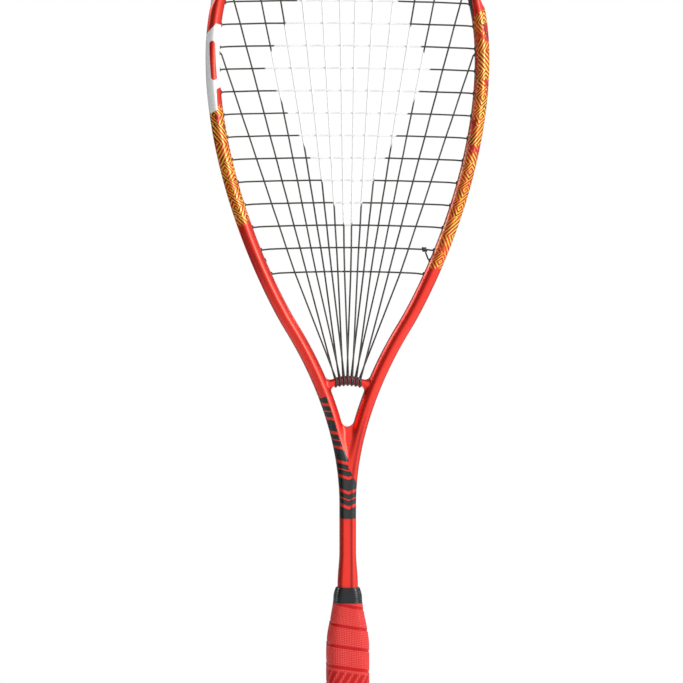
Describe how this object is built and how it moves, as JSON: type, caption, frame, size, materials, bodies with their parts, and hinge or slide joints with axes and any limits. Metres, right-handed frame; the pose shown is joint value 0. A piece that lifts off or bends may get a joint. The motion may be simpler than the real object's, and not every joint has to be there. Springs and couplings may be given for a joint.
{
  "type": "squash racket",
  "caption": "Squash racket with a one-piece hairpin frame, open throat, fanned strings looped round the bridge, bumper guard and wrapped handle.",
  "frame": {"origin": "centre of the butt end face", "axes": "+Z along the handle towards the head, +X across the face, +Y through the face towards the back"},
  "size_m": [0.2016, 0.0304, 0.686],
  "materials": {
    "frame_lacquer": "clear lacquer over carbon, glossy red",
    "sleeve_maroon": "satin maroon",
    "guard_white": "satin light grey",
    "grommet_dark": "satin dark grey",
    "string_black": "satin black",
    "handle_foam": "matt polyurethane foam",
    "cap_black": "satin black",
    "staple_steel": "bright wire",
    "grip_red": "matt perforated polyurethane wrap",
    "tape_black": "satin",
    "collar_rubber": "matt black"
  },
  "bodies": {
    "racket": {"hoop_tube": "frame_lacquer", "shaft_tube": "frame_lacquer", "throat_bridge": "frame_lacquer", "bridge_sleeve": "sleeve_maroon", "bumper_guard": "guard_white", "grommet_strip_right": "grommet_dark", "grommet_strip_left": "grommet_dark", "main_string": "string_black", "cross_string": "string_black", "cross_knot": "string_black", "main_knot_right": "string_black", "main_knot_left": "string_black", "pallet_right": "handle_foam", "pallet_left": "handle_foam", "butt_cap": "cap_black", "staple_front": "staple_steel", "staple_back": "staple_steel", "grip_tape": "grip_red", "finishing_tape": "tape_black"},
    "collar": {"rubber_collar": "collar_rubber"}
  },
  "joints": [
    {"name": "collar_slide", "type": "slide", "parent": "racket", "child": "collar", "axis": [0, 0, 1], "range_m": [0, 0.025]}
  ]
}
